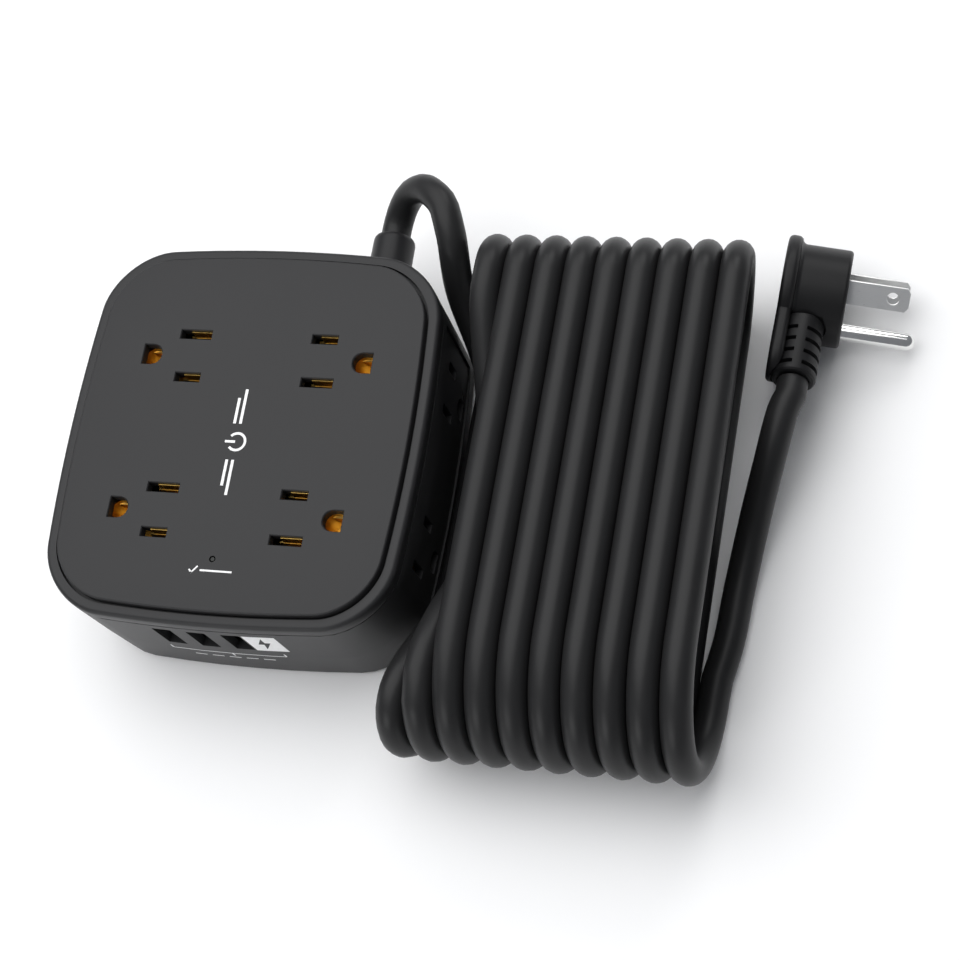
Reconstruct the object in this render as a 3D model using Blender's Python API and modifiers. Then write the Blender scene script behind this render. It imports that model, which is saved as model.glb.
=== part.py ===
"""Eight-outlet surge protector with three USB ports, its wound cord and its flat plug.

Metres, +Z up. The origin is under the middle of the housing, on the surface it stands on.
The USB ports face -Y, the cord leaves the back wall at +Y and lies wound up on the +X side.
"""

import math

import bmesh
import bpy
from mathutils import Matrix, Vector

MM = 0.001
GAP = 0.3 * MM

# Housing: a crowned box with drafted walls, a top frame and a raised face plate.
HALF_X = 51.0 * MM
HALF_Y = 54.7 * MM
CORNER_RADIUS = 17.0 * MM
CROWN = 3.3 * MM
DRAFT = 1.1 * MM
WALL = 2.4 * MM
BASE_Z = 1.5 * MM
SEAM_Z = 37.9 * MM
FRAME_TOP_Z = 42.6 * MM
PLATE_TOP_Z = 44.2 * MM
PLATE_THICKNESS = 3.0 * MM
PLATE_INSET = 3.5 * MM
GROOVE = 0.7 * MM
LEDGE = 3.5 * MM
BASE_THICKNESS = 3.0 * MM
CORNER_STEPS = 7
SIDE_STEPS = 6

# Outlets: blade slots 12.7 mm apart, ground hole 11.9 mm off the line through them.
BLADE_PITCH = 12.7 * MM
GROUND_OFFSET = 11.9 * MM
NEUTRAL_SLOT = 9.0 * MM
LINE_SLOT = 7.3 * MM
SLOT_WIDTH = 2.6 * MM
GROUND_WIDTH = 5.8 * MM
GROUND_LENGTH = 5.4 * MM
OUTLET_X = 18.75 * MM
OUTLET_Y = 22.4 * MM
TOP_SHIFT_X = 0.25 * MM
TOP_SHIFT_Y = -1.5 * MM
SIDE_OUTLET_Z = 23.4 * MM
SIDE_PLATE_HALF_Y = 37.0 * MM
SIDE_PLATE_Z = (6.6 * MM, 34.4 * MM)
WINDOW_REACH = 9.0 * MM
OUTLET_CUT_DEPTH = 12.0 * MM

# USB receptacles stand on their sides behind windows in the front wall.
USB_FIRST_X = -14.9 * MM
USB_PITCH = 9.87 * MM
USB_COUNT = 3
USB_Z = 28.7 * MM
USB_OPENING = (5.1 * MM, 12.5 * MM)
USB_WINDOW = (5.4 * MM, 12.9 * MM)
USB_SHELL_WALL = 0.3 * MM
USB_DEPTH = 13.0 * MM
USB_FACE_Y = -50.9 * MM
TONGUE_OFFSET = 0.95 * MM
TONGUE_HALF = (0.92 * MM, 5.5 * MM)

LED_AT = (-0.25 * MM, -36.6 * MM)
RESET_AT = (-22.0 * MM, 24.0 * MM)
RESET_RADIUS = 3.2 * MM
CORD_EXIT = (25.8 * MM, 24.2 * MM)

# Screw bosses, feet, board posts and keyholes, as places on the base.
BOSS_AT = (37.4 * MM, 40.8 * MM)
BOSS_RADIUS = 3.8 * MM
BOSS_Z = (5.0 * MM, 18.0 * MM)
SCREW_HOLE = 1.9 * MM
FOOT_AT = (26.5 * MM, 42.0 * MM)
FOOT_RADIUS = 4.8 * MM
FOOT_HEIGHT = 2.1 * MM
POST_X = 26.0 * MM
POST_Y = (-14.0 * MM, 24.0 * MM)
POST_TOP_Z = 6.9 * MM
KEYHOLE_AT = (20.0 * MM, -3.0 * MM)
KEYHOLE_HEAD = 4.2 * MM
KEYHOLE_SLOT = 2.2 * MM
KEYHOLE_LENGTH = 10.0 * MM

# Contact strips: flat bars with pairs of upright leaves that grip a blade or a pin.
STRIP = 0.8 * MM
ARM_SINK = (0.1 * MM, 0.16 * MM)
LEAF = 0.6 * MM
LEAF_SPREAD = {"line": 0.8 * MM, "neutral": 0.8 * MM, "ground": 2.2 * MM}
LEAF_LENGTH = {"line": 6.4 * MM, "neutral": 6.4 * MM, "ground": 3.4 * MM}
TOP_STRIP_Z = {"neutral": 31.6 * MM, "line": 29.6 * MM, "ground": 27.6 * MM}
TOP_LEAF_Z = 39.8 * MM
SIDE_STRIP_X = 36.6 * MM
SIDE_LEAF_X = 45.0 * MM
SIDE_STRIP_Z = {
    "neutral": (28.4 * MM, 31.4 * MM),
    "line": (15.6 * MM, 18.2 * MM),
    "ground": (9.6 * MM, 13.4 * MM),
}

# Circuit boards and what stands on them.
BOARD_Z = (7.2 * MM, 8.8 * MM)
BOARD_X = 31.0 * MM
BOARD_Y = (-19.0 * MM, 29.0 * MM)
SOLDER_Z = 9.1 * MM
USB_BOARD_X = (-22.0 * MM, 16.0 * MM)
USB_BOARD_Y = (-50.0 * MM, -26.0 * MM)
USB_BOARD_Z = (20.2 * MM, 21.8 * MM)

# Cord: three conductors of 2 mm2 in a round vinyl jacket.
CORD_DIAMETER = 8.4 * MM
CORD_RADIUS = CORD_DIAMETER / 2
WIRE_RADIUS = 1.3 * MM
COIL_X = (51.7 * MM, 131.0 * MM)
COIL_RUN_Y = (-48.5 * MM, 50.2 * MM)
COIL_NOSE = (26.7 * MM, 13.0 * MM)
COIL_HEIGHT = 46.0 * MM
COIL_NOTCH = (123.6 * MM, -47.8 * MM, 16.0 * MM)

# Flat plug with its cord leaving at 45 degrees. It lies on the rims of its round body and
# its flange. In its own frame the blades point along +X and the ground pin stands at +Y.
PLUG_AT = (152.45, 61.4, 14.77)
PLUG_YAW = math.radians(-2.9)
PLUG_PITCH = math.radians(10.0)
PLUG_ROLL = math.radians(33.0)
PLUG_CORD_TURN = math.radians(45.0)
PLUG_DEPTH = 17.6 * MM
PLUG_FLANGE = 3.8 * MM
PLUG_RADIUS = 13.2 * MM
PLUG_FLANGE_RADIUS = 15.2 * MM
PLUG_OFFSET = 3.2 * MM
PLUG_TAIL = 32.4 * MM
PLUG_TAIL_HALF = 6.9 * MM
BLADE_HALF = 3.17 * MM
BLADE_THICK = 0.75 * MM
BLADE_LENGTH = 16.4 * MM
BLADE_ROOT = -9.0 * MM
BLADE_CHAMFER = (1.0 * MM, 1.2 * MM)
BLADE_HOLE = (11.9 * MM, 1.6 * MM)
PIN_RADIUS = 2.38 * MM
PIN_LENGTH = 19.8 * MM
PIN_ROOT = -3.0 * MM
RELIEF_X = -10.2 * MM
RELIEF_Y = (14.1 * MM, 32.5 * MM)
RELIEF_RADIUS = (5.7 * MM, 5.9 * MM)
SLOT_COUNT = 4
SLOT_FIRST = 18.2 * MM
SLOT_PITCH = 3.7 * MM
SLOT_SIZE = 1.25 * MM
SLOT_DEPTH = 4.2 * MM

# Where the cord runs free: over the back corner into the winding, and out to the plug.
LEAD_START = (25.8, 68.25, 24.2)
LEAD_ROUTE = [
    (25.8, 70.2, 24.3),
    (26.5, 73.2, 25.6),
    (28.1, 76.1, 28.2),
    (31.2, 78.2, 32.0),
    (36.1, 77.6, 36.2),
    (40.6, 74.3, 38.6),
    (43.6, 70.9, 39.0),
    (45.5, 66.3, 38.4),
    (46.7, 61.9, 36.4),
    (46.7, 58.2, 33.0),
    (45.6, 55.2, 28.2),
]
TAIL_ROUTE = [
    (128.3, -46.7, 4.25),
    (129.9, -38.0, 4.25),
    (130.6, -31.4, 4.25),
    (131.0, -24.8, 4.4),
    (131.7, -18.4, 5.2),
    (132.6, -12.2, 6.8),
    (133.7, -6.3, 9.3),
    (135.0, -0.7, 12.6),
    (136.5, 4.6, 16.4),
    (138.0, 9.9, 20.1),
    (139.3, 15.6, 23.0),
    (140.6, 21.8, 24.4),
]
TAIL_END_Y = (37.4 * MM, 35.2 * MM, 33.0 * MM)


# ---------------------------------------------------------------- scene and small helpers


def clear_scene():
    for obj in list(bpy.data.objects):
        bpy.data.objects.remove(obj, do_unlink=True)


def new_collection(name):
    collection = bpy.data.collections.new(name)
    bpy.context.scene.collection.children.link(collection)
    return collection


clear_scene()
PARTS = new_collection("surge_protector")
CUTTERS = new_collection("cutters")
CUTTERS.hide_render = True


def mm(x, y, z):
    """A point or a step given in millimetres."""
    return Vector((x, y, z)) * MM


def material(name, colour, roughness, metallic=0.0):
    made = bpy.data.materials.get(name)
    if made is None:
        made = bpy.data.materials.new(name)
        made.use_nodes = True
        shader = made.node_tree.nodes["Principled BSDF"]
        shader.inputs["Base Color"].default_value = (*colour, 1.0)
        shader.inputs["Roughness"].default_value = roughness
        shader.inputs["Metallic"].default_value = metallic
        made.diffuse_color = (*colour, 1.0)
    return made


def black_plastic():
    return material("black_plastic", (0.035, 0.035, 0.037), 0.42)


def cord_vinyl():
    return material("cord_vinyl", (0.018, 0.018, 0.019), 0.5)


def dark_rubber():
    return material("dark_rubber", (0.02, 0.02, 0.02), 0.85)


def brass():
    return material("brass", (0.72, 0.5, 0.2), 0.3, 1.0)


def nickel():
    return material("nickel", (0.72, 0.72, 0.7), 0.25, 1.0)


def steel():
    return material("steel", (0.5, 0.5, 0.5), 0.35, 1.0)


def board_green():
    return material("board_green", (0.03, 0.2, 0.09), 0.5)


def mesh_object(name, build, finish, collection=None):
    """An object whose mesh the function build makes in a bmesh."""
    shape = bmesh.new()
    build(shape)
    bmesh.ops.remove_doubles(shape, verts=shape.verts, dist=0.001 * MM)
    bmesh.ops.recalc_face_normals(shape, faces=shape.faces)
    data = bpy.data.meshes.new(name)
    shape.to_mesh(data)
    shape.free()
    if finish is not None:
        data.materials.append(finish)
    made = bpy.data.objects.new(name, data)
    (collection or PARTS).objects.link(made)
    return made


def cutter(name, build):
    made = mesh_object(name, build, None, CUTTERS)
    made.hide_render = True
    made.display_type = "WIRE"
    return made


def add_box(shape, low, high):
    """One box between two corners, added to the bmesh shape."""
    size = Vector(high) - Vector(low)
    middle = (Vector(high) + Vector(low)) / 2
    place = Matrix.Translation(middle) @ Matrix.Diagonal((*size, 1.0))
    bmesh.ops.create_cube(shape, size=1.0, matrix=place)


def add_cylinder(shape, start, end, radius, steps=20, end_radius=None):
    """One closed cylinder or cone from start to end."""
    along = Vector(end) - Vector(start)
    turn = along.to_track_quat("Z", "Y").to_matrix().to_4x4()
    place = Matrix.Translation((Vector(start) + Vector(end)) / 2) @ turn
    bmesh.ops.create_cone(
        shape,
        cap_ends=True,
        segments=steps,
        radius1=radius,
        radius2=radius if end_radius is None else end_radius,
        depth=along.length,
        matrix=place,
    )


def add_prism(shape, outline, offset):
    """The closed outline, given as 3-D points, pushed along offset."""
    bottom = [shape.verts.new(point) for point in outline]
    face = shape.faces.new(bottom)
    grown = bmesh.ops.extrude_face_region(shape, geom=[face])["geom"]
    moved = [item for item in grown if isinstance(item, bmesh.types.BMVert)]
    bmesh.ops.translate(shape, verts=moved, vec=offset)


def add_turned(shape, profile, axis, steps, offset):
    """A solid turned about axis: profile lists points in a plane that holds the axis."""
    points = [shape.verts.new(point) for point in profile]
    edges = [shape.edges.new(pair) for pair in zip(points, points[1:])]
    bmesh.ops.spin(
        shape,
        geom=points + edges,
        cent=(0, 0, 0),
        axis=axis,
        angle=2 * math.pi,
        steps=steps,
        use_merge=True,
    )
    bmesh.ops.translate(shape, verts=shape.verts, vec=offset)


def combine(target, other, operation):
    """A live Boolean on target, with the exact solver."""
    step = target.modifiers.new(operation.lower(), "BOOLEAN")
    step.operation = operation
    step.solver = "EXACT"
    step.use_self = True
    step.object = other
    return target


def round_edges(target, width, segments=2):
    step = target.modifiers.new("rounded_edges", "BEVEL")
    step.width = width
    step.segments = segments
    step.limit_method = "ANGLE"
    step.angle_limit = math.radians(50.0)
    return target


def smooth(target):
    target.data.shade_smooth()
    target.data.set_sharp_from_angle(angle=math.radians(35.0))
    return target


def boxes_object(name, boxes, finish):
    """Overlapping boxes joined into one solid: the first takes in all the others."""
    first = mesh_object(name, lambda shape: add_box(shape, *boxes[0]), finish)

    def rest(shape):
        for low, high in boxes[1:]:
            add_box(shape, low, high)

    return combine(first, cutter(name + "_rest", rest), "UNION")


def spline_point(one, two, three, four, t):
    """A point of the smooth curve between two and three, at t from 0 to 1."""
    linear = three - one
    square = one * 2 - two * 5 + three * 4 - four
    cube = two * 3 - one - three * 3 + four
    return (two * 2 + linear * t + square * t**2 + cube * t**3) / 2


def smooth_route(points, spacing):
    """Points at about equal spacing on a smooth curve through the given points."""
    ends = [points[0] * 2 - points[1], *points, points[-1] * 2 - points[-2]]
    dense = []
    for near in zip(ends, ends[1:], ends[2:], ends[3:]):
        dense += [spline_point(*near, step / 20) for step in range(20)]
    dense.append(points[-1])
    lengths = [0.0]
    for before, after in zip(dense, dense[1:]):
        lengths.append(lengths[-1] + (after - before).length)
    count = max(2, round(lengths[-1] / spacing))
    placed = []
    where = 0
    for step in range(count + 1):
        target = lengths[-1] * step / count
        while where < len(dense) - 2 and lengths[where + 1] < target:
            where += 1
        part = (target - lengths[where]) / (lengths[where + 1] - lengths[where])
        placed.append(dense[where].lerp(dense[where + 1], part))
    return placed


def tube(name, points, radius, finish, sides=2):
    """A cord or wire: a poly spline with a round bevel and closed ends."""
    data = bpy.data.curves.new(name, "CURVE")
    data.dimensions = "3D"
    data.bevel_depth = radius
    data.bevel_resolution = sides
    data.use_fill_caps = True
    spline = data.splines.new("POLY")
    spline.points.add(len(points) - 1)
    for target, point in zip(spline.points, points):
        target.co = (*point, 1.0)
    data.materials.append(finish)
    PARTS.objects.link(bpy.data.objects.new(name, data))


# ---------------------------------------------------------------- outlines


def arc(centre, radius, first, last, steps):
    """Points on a flat arc, as pairs, from the angle first to the angle last."""
    points = []
    for step in range(steps + 1):
        angle = first + (last - first) * step / steps
        points.append(
            (centre[0] + radius * math.cos(angle), centre[1] + radius * math.sin(angle))
        )
    return points


def crowned_outline(half_x, half_y, radius, crown):
    """A rounded rectangle whose four sides bulge out by crown."""
    straight_x = half_x - crown - radius
    straight_y = half_y - crown - radius
    points = []
    for turn in range(4):
        centre = (
            math.copysign(straight_x, (1, -1, -1, 1)[turn]),
            math.copysign(straight_y, (1, 1, -1, -1)[turn]),
        )
        first = math.pi / 2 * turn
        points += arc(centre, radius, first, first + math.pi / 2, CORNER_STEPS)
        start = Vector(points[-1])
        along = Matrix.Rotation(first, 2) @ Vector((-1, 0))
        reach = 2 * (straight_y if turn % 2 else straight_x)
        for step in range(1, SIDE_STEPS):
            points.append(tuple(start + along * reach * step / SIDE_STEPS))
    return [
        (
            x * (1 + crown / half_x * (1 - (y / half_y) ** 2)),
            y * (1 + crown / half_y * (1 - (x / half_x) ** 2)),
        )
        for x, y in points
    ]


def body_outline(inset):
    radius = CORNER_RADIUS - inset * 0.7
    return crowned_outline(HALF_X - inset, HALF_Y - inset, radius, CROWN)


def at_height(outline, z):
    return [Vector((x, y, z)) for x, y in outline]


def slab(name, outline, low_z, high_z, finish):
    def build(shape):
        add_prism(shape, at_height(outline, low_z), Vector((0, 0, high_z - low_z)))

    return cutter(name, build) if finish is None else mesh_object(name, build, finish)


def ground_outline():
    """The ground hole: round towards the blades and flat on its far side, at +X here."""
    half = GROUND_WIDTH / 2
    flat = GROUND_LENGTH - half
    return [(flat, -half), (flat, half)] + arc((0, 0), half, math.pi / 2, math.pi * 1.5, 8)


# ---------------------------------------------------------------- outlets


def outlet_frames():
    """(group, origin, side, out) of each outlet: out leaves the face and side runs
    from the blade slots to the ground hole."""
    found = []
    for sign in (-1, 1):
        for row in (-1, 1):
            x = sign * OUTLET_X + TOP_SHIFT_X
            origin = Vector((x, row * OUTLET_Y + TOP_SHIFT_Y, PLATE_TOP_Z))
            found.append(("top", origin, Vector((sign, 0, 0)), Vector((0, 0, 1))))
            origin = Vector((sign * HALF_X, row * OUTLET_Y, SIDE_OUTLET_Z))
            group = "right" if sign > 0 else "left"
            found.append((group, origin, Vector((0, 0, -1)), Vector((sign, 0, 0))))
    return found


def openings_of(side, out):
    """Where the openings of an outlet lie from its origin, and how long each is."""
    across = out.cross(side)
    return {
        "neutral": (-across * BLADE_PITCH / 2, NEUTRAL_SLOT),
        "line": (across * BLADE_PITCH / 2, LINE_SLOT),
        "ground": (side * GROUND_OFFSET, GROUND_LENGTH),
    }


def add_outlet_cuts(shape, origin, side, out, depth):
    """Cutters for one outlet's two blade slots and its ground hole."""
    across = out.cross(side)
    for kind, (offset, length) in openings_of(side, out).items():
        start = origin + offset + out * depth
        half = SLOT_WIDTH / 2
        if kind == "ground":
            outline = ground_outline()
        else:
            outline = [
                (-length / 2, -half),
                (length / 2, -half),
                (length / 2, half),
                (-length / 2, half),
            ]
        points = [start + side * x + across * y for x, y in outline]
        add_prism(shape, points, out * -2 * depth)


def outlet_cutter(group):
    def build(shape):
        for name, origin, side, out in outlet_frames():
            if name == group:
                add_outlet_cuts(shape, origin, side, out, OUTLET_CUT_DEPTH)

    return cutter("outlet_cuts_" + group, build)


def sorted_box(one, other):
    """A box given by any two opposite corners, as its low and high corner."""
    low = [min(a, b) for a, b in zip(one, other)]
    high = [max(a, b) for a, b in zip(one, other)]
    return low, high


def leaf_pair(centre, side, across, kind, start, end):
    """The two contact leaves beside a blade or pin, from centre + start to + end."""
    half = side * LEAF_LENGTH[kind] / 2
    pair = []
    for sign in (-1, 1):
        inner = centre + across * sign * LEAF_SPREAD[kind]
        outer = inner + across * sign * LEAF
        pair.append(sorted_box(inner - half + start, outer + half + end))
    return pair


# ---------------------------------------------------------------- shells


def wall_shell(name, inset, finish):
    """The drafted side wall: an open band of surface given its thickness inwards."""
    middle = 0.45
    levels = ((BASE_Z, DRAFT), (SEAM_Z * middle, DRAFT * middle), (SEAM_Z, 0.0))

    def build(shape):
        rings = []
        for z, draft in levels:
            outline = at_height(body_outline(inset + draft), z)
            rings.append([shape.verts.new(point) for point in outline])
        edges = []
        for ring in rings:
            edges.append(
                [shape.edges.new(pair) for pair in zip(ring, ring[1:] + ring[:1])]
            )
        for lower, upper in zip(edges, edges[1:]):
            bmesh.ops.bridge_loops(shape, edges=lower + upper)

    made = mesh_object(name, build, finish)
    step = made.modifiers.new("wall", "SOLIDIFY")
    step.thickness = WALL
    step.offset = -1.0
    step.use_even_offset = True
    return made


def window_box(shape, sign, grow):
    """The side opening that takes a plate with outlets."""
    low_z, high_z = SIDE_PLATE_Z
    add_box(
        shape,
        *sorted_box(
            (sign * (HALF_X + WINDOW_REACH), -SIDE_PLATE_HALF_Y - grow, low_z - grow),
            (sign * (HALF_X - WINDOW_REACH), SIDE_PLATE_HALF_Y + grow, high_z + grow),
        ),
    )


def four_corners(place):
    return [(x * place[0], y * place[1]) for x in (-1, 1) for y in (-1, 1)]


BOSSES = four_corners(BOSS_AT)
FEET = four_corners(FOOT_AT)
POSTS = [(x * POST_X, y) for x in (-1, 1) for y in POST_Y]
KEYHOLES = [(x * KEYHOLE_AT[0], KEYHOLE_AT[1]) for x in (-1, 1)]


def add_web(shape, x, y):
    """The upright rib that ties a screw boss to the corner of the wall."""
    start = Vector((x, y, BOSS_Z[0] + 0.4 * MM))
    corner = start + Vector((math.copysign(4.4 * MM, x), math.copysign(4.7 * MM, y), 0))
    across = (corner - start).cross(Vector((0, 0, 1))).normalized() * MM
    outline = [start + across, corner + across, corner - across, start - across]
    add_prism(shape, outline, mm(0, 0, 12.2))


def make_housing():
    housing = wall_shell("main_housing", 0.0, black_plastic())
    low, high = BOSS_Z

    def bosses(shape):
        for x, y in BOSSES:
            add_cylinder(shape, (x, y, low), (x, y, high), BOSS_RADIUS)
            add_web(shape, x, y)

    def cuts(shape):
        window_box(shape, -1, GAP)
        window_box(shape, 1, GAP)
        for x, y in BOSSES:
            top = high - 3 * MM
            add_cylinder(shape, (x, y, low - MM), (x, y, top), SCREW_HOLE, 12)
        for port in range(USB_COUNT):
            middle = Vector((USB_FIRST_X + port * USB_PITCH, -HALF_Y + 3 * MM, USB_Z))
            half = Vector((USB_WINDOW[0] / 2, 6 * MM, USB_WINDOW[1] / 2))
            add_box(shape, middle - half, middle + half)
        for (x, z), radius in ((CORD_EXIT, 6.9 * MM), (RESET_AT, 5.6 * MM)):
            add_cylinder(shape, (x, 46 * MM, z), (x, 60 * MM, z), radius, 28)

    combine(housing, cutter("housing_bosses", bosses), "UNION")
    combine(housing, cutter("housing_cuts", cuts), "DIFFERENCE")
    smooth(housing)


def make_side_plates():
    for sign, group in ((-1, "left"), (1, "right")):
        plate = wall_shell("side_outlet_plate_" + group, 0.5 * MM, black_plastic())

        def window(shape, sign=sign):
            window_box(shape, sign, 0.0)

        combine(plate, cutter("plate_window_" + group, window), "INTERSECT")
        combine(plate, outlet_cutter(group), "DIFFERENCE")
        smooth(plate)


def make_top_frame():
    """The ring between housing and plate, with a sunk seat and a ledge for the plate."""
    frame = slab(
        "top_frame", body_outline(0.0), SEAM_Z + GAP, FRAME_TOP_Z, black_plastic()
    )
    round_edges(frame, 1.2 * MM, 3)
    seat_z = PLATE_TOP_Z - PLATE_THICKNESS - GAP
    seat = slab("plate_seat", body_outline(PLATE_INSET - GROOVE), seat_z, 50 * MM, None)
    hole = slab("frame_hole", body_outline(PLATE_INSET + LEDGE), 30 * MM, 50 * MM, None)
    combine(frame, seat, "DIFFERENCE")
    combine(frame, hole, "DIFFERENCE")
    smooth(frame)


def make_face_plate():
    low_z = PLATE_TOP_Z - PLATE_THICKNESS
    outline = body_outline(PLATE_INSET)
    plate = slab("face_plate", outline, low_z, PLATE_TOP_Z, black_plastic())
    round_edges(plate, 0.5 * MM)
    combine(plate, outlet_cutter("top"), "DIFFERENCE")

    def hole(shape):
        x, y = LED_AT
        add_cylinder(shape, (x, y, 38 * MM), (x, y, 48 * MM), 0.9 * MM, 16)

    combine(plate, cutter("led_hole", hole), "DIFFERENCE")
    smooth(plate)


def keyhole(x, y):
    """A round screw-head hole that narrows into a slot running to +Y."""
    neck = math.asin(KEYHOLE_SLOT / KEYHOLE_HEAD)
    first = math.pi / 2 + neck
    head = arc((x, y), KEYHOLE_HEAD, first, first + 2 * (math.pi - neck), 16)
    return head + arc((x, y + KEYHOLE_LENGTH), KEYHOLE_SLOT, 0.0, math.pi, 6)


def make_base():
    top_z = BASE_Z + BASE_THICKNESS
    outline = body_outline(DRAFT + WALL + GAP + 0.1 * MM)
    base = slab("base_cover", outline, BASE_Z, top_z, black_plastic())

    def posts(shape):
        for x, y in POSTS:
            add_cylinder(shape, (x, y, top_z - MM), (x, y, POST_TOP_Z), 2.6 * MM, 16)

    def cuts(shape):
        for x, y in FEET:
            foot_top = FOOT_HEIGHT + GAP
            add_cylinder(shape, (x, y, 0), (x, y, foot_top), FOOT_RADIUS + 0.4 * MM, 24)
        for x, y in BOSSES:
            add_cylinder(shape, (x, y, 0), (x, y, 8 * MM), SCREW_HOLE, 12)
            add_cylinder(shape, (x, y, 0), (x, y, 3.3 * MM), 3.4 * MM)
        for x, y in POSTS:
            add_cylinder(shape, (x, y, 2.6 * MM), (x, y, 9 * MM), 1.3 * MM, 10)
        for x, y in KEYHOLES:
            add_prism(shape, at_height(keyhole(x, y), -2 * MM), mm(0, 0, 12))

    combine(base, cutter("base_posts", posts), "UNION")
    combine(base, cutter("base_cuts", cuts), "DIFFERENCE")
    smooth(base)


def make_foot(name, x, y):
    def foot(shape):
        add_cylinder(shape, (x, y, 0), (x, y, FOOT_HEIGHT), FOOT_RADIUS, 24)

    smooth(mesh_object(name, foot, dark_rubber()))


def make_base_screw(name, x, y):
    """A pan-head screw turned about Z, its head down, with a cross recess."""
    head, shank, length, under = 3.0, 1.3, 12.5, 1.3
    z = BASE_Z + 0.2 * MM
    profile = [
        mm(0.0, 0, length),
        mm(shank * 0.5, 0, length),
        mm(shank, 0, length - 1.0),
        mm(shank, 0, under),
        mm(head, 0, under),
        mm(head, 0, 0.5),
        mm(head * 0.7, 0, 0.0),
        mm(0.0, 0, 0.0),
    ]
    arm, half, depth = 1.65 * MM, 0.35 * MM, 0.7 * MM

    def build(shape):
        add_turned(shape, profile, (0, 0, 1), 16, (x, y, z))

    def slot_x(shape):
        add_box(shape, (x - arm, y - half, 0), (x + arm, y + half, z + depth))

    def slot_y(shape):
        add_box(shape, (x - half, y - arm, 0), (x + half, y + arm, z + depth))

    made = mesh_object(name, build, steel())
    combine(made, cutter(name + "_slot_x", slot_x), "DIFFERENCE")
    combine(made, cutter(name + "_slot_y", slot_y), "DIFFERENCE")
    smooth(made)


def make_feet_and_screws():
    for index, (x, y) in enumerate(FEET, 1):
        make_foot(f"rubber_foot_{index}", x, y)
    for index, (x, y) in enumerate(BOSSES, 1):
        make_base_screw(f"base_screw_{index}", x, y)


# ---------------------------------------------------------------- contacts and wiring


def make_top_contacts():
    """Three stamped strips under the face plate, each on its own level."""
    bar_half = OUTLET_Y + 8 * MM
    for kind, low in TOP_STRIP_Z.items():
        high = low + STRIP
        bar = (
            (-2.5 * MM, TOP_SHIFT_Y - bar_half, low),
            (2.5 * MM, TOP_SHIFT_Y + bar_half, high),
        )
        boxes = [bar]
        for group, origin, side, out in outlet_frames():
            if group != "top":
                continue
            at = origin + openings_of(side, out)[kind][0]
            sink = ARM_SINK[0] if side.x > 0 else ARM_SINK[1]
            boxes.append(
                sorted_box(
                    (at.x + side.x * 4.0 * MM, at.y - 2.9 * MM, low + sink),
                    (side.x * -1.5 * MM, at.y + 2.9 * MM, high - sink),
                )
            )
            foot = Vector((0, 0, low + GAP))
            tip = Vector((0, 0, TOP_LEAF_Z))
            centre = Vector((at.x, at.y, 0))
            boxes += leaf_pair(
                centre, Vector((1, 0, 0)), Vector((0, 1, 0)), kind, foot, tip
            )
        boxes_object(f"top_{kind}_contacts", boxes, brass())


def make_side_contacts():
    """Upright strips behind each side plate, with leaves that reach out to the slots."""
    reach = OUTLET_Y + BLADE_PITCH / 2 + 2.4 * MM
    for group, sign in (("left", -1), ("right", 1)):
        inner = sign * SIDE_STRIP_X
        outer = sign * (SIDE_STRIP_X + STRIP)
        for kind, (low, high) in SIDE_STRIP_Z.items():
            boxes = [sorted_box((inner, -reach, low), (outer, reach, high))]
            for name, origin, side, out in outlet_frames():
                if name != group:
                    continue
                at = origin + openings_of(side, out)[kind][0]
                levels = (at.z - 3.4 * MM, at.z + 3.4 * MM, (low + high) / 2)
                if kind != "ground":
                    sink = sign * ARM_SINK[0]
                    boxes.append(
                        sorted_box(
                            (inner + sink, at.y - 2.3 * MM, min(levels)),
                            (outer - sink, at.y + 2.3 * MM, max(levels)),
                        )
                    )
                root = Vector((sign * (SIDE_STRIP_X + GAP), 0, 0))
                tip = Vector((sign * SIDE_LEAF_X, 0, 0))
                centre = Vector((0, at.y, at.z))
                boxes += leaf_pair(
                    centre, Vector((0, 0, 1)), Vector((0, 1, 0)), kind, root, tip
                )
            boxes_object(f"{group}_{kind}_contacts", boxes, brass())


WIRES = {
    "line_wire": (
        (0.015, 0.015, 0.015),
        [(23.8, 43.9, 25.6), (18, 41, 25), (4, 39, 23), (-8, 38, 21.5), (-15.3, 38, 21)],
    ),
    "neutral_wire": (
        (0.75, 0.75, 0.72),
        [(27.4, 43.9, 25.6), (28, 40, 24), (28, 34, 17), (24, 27, 13), (21.5, 23, 10.8)],
    ),
    "ground_wire": (
        (0.02, 0.3, 0.08),
        [(25.8, 43.9, 22.4), (25, 41, 21), (19, 34, 20), (10, 26, 21.5), (4, 20, 25.2)],
    ),
}


def make_wires():
    for name, (colour, route) in WIRES.items():
        finish = material(name + "_insulation", colour, 0.5)
        points = smooth_route([mm(*point) for point in route], 4.0 * MM)
        tube(name, points, WIRE_RADIUS, finish)


# ---------------------------------------------------------------- electronics


def make_boards():
    def holes(shape):
        for x, y in POSTS:
            add_cylinder(shape, (x, y, 0), (x, y, 12 * MM), 1.6 * MM, 12)

    def power(shape):
        low = (-BOARD_X, BOARD_Y[0], BOARD_Z[0])
        add_box(shape, low, (BOARD_X, BOARD_Y[1], BOARD_Z[1]))

    def usb(shape):
        low, high = zip(USB_BOARD_X, USB_BOARD_Y, USB_BOARD_Z)
        add_box(shape, low, high)

    board = mesh_object("power_board", power, board_green())
    combine(board, cutter("board_holes", holes), "DIFFERENCE")
    mesh_object("usb_board", usb, board_green())


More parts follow.
